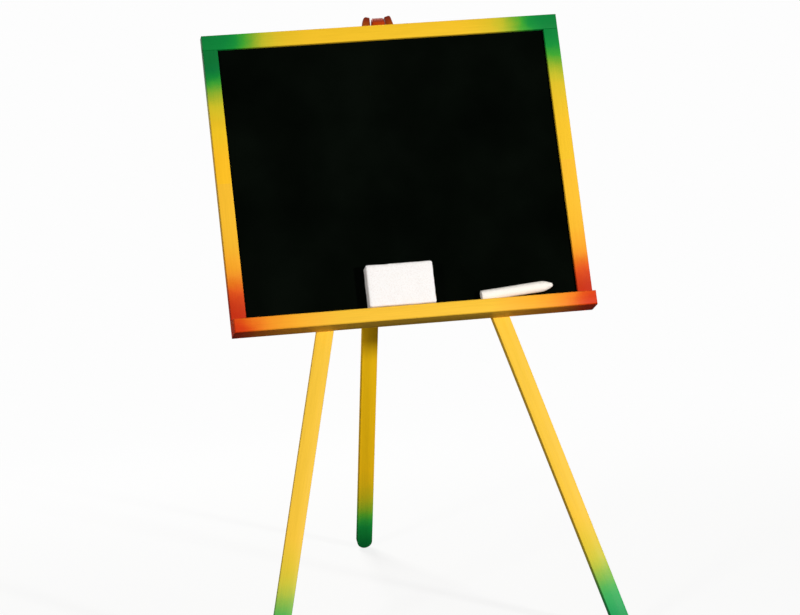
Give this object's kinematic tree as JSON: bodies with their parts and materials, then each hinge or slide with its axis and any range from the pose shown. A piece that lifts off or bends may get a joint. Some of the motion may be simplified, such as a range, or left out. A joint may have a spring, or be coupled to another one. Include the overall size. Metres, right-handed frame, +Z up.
{
  "type": "tripod writing board",
  "caption": "Child's framed blackboard with a chalk ledge on a folding three-legged wooden easel, with a sponge and a stick of chalk on the ledge.",
  "frame": {"origin": "on the floor, at the bottom centre of the overall box, between the two front feet and the rear foot", "axes": "+Z up; +X to the right of a viewer who faces the writing side; +Y from the writing side towards the rear leg. The board leans back 20.42 degrees about X."},
  "size_m": [0.4, 0.556, 0.6667],
  "materials": {
    "painted_wood": "satin yellow enamel sprayed over pine, fading to green at the frame's upper corners and the feet and to red at the lower corners and the legs' tips",
    "slate_hardboard": "matte near-black writing paint on hardboard",
    "zinc_steel": "zinc-plated",
    "sponge_foam": "matte open-celled white foam",
    "chalk_white": "matte pressed chalk"
  },
  "bodies": {
    "easel": {"top_rail": "painted_wood", "left_stile": "painted_wood", "right_stile": "painted_wood", "chalk_ledge": "painted_wood", "writing_panel": "slate_hardboard", "left_front_leg": "painted_wood", "right_front_leg": "painted_wood", "pivot_screw": "zinc_steel", "pivot_nut": "zinc_steel", "left_spacer_washer": "zinc_steel", "left_outer_washer": "zinc_steel", "right_spacer_washer": "zinc_steel", "right_outer_washer": "zinc_steel", "top_left_nail": "zinc_steel", "bottom_left_nail": "zinc_steel", "top_right_nail": "zinc_steel", "bottom_right_nail": "zinc_steel", "left_leg_upper_screw": "zinc_steel", "left_leg_lower_screw": "zinc_steel", "right_leg_upper_screw": "zinc_steel", "right_leg_lower_screw": "zinc_steel"},
    "rear_leg": {"rear_leg": "painted_wood"},
    "sponge": {"sponge": "sponge_foam"},
    "chalk": {"chalk": "chalk_white"}
  },
  "joints": [
    {"name": "rear_leg_fold", "type": "hinge", "parent": "easel", "child": "rear_leg", "pos_m": [0, -0.03075, 0.6525], "axis": [-1, 0, 0], "range_deg": [0, 45.5]},
    {"name": "sponge_lift", "type": "slide", "parent": "easel", "child": "sponge", "axis": [0, 0.349, 0.9371], "range_m": [0, 0.15]},
    {"name": "chalk_lift", "type": "slide", "parent": "easel", "child": "chalk", "axis": [0, 0.349, 0.9371], "range_m": [0, 0.15]}
  ]
}
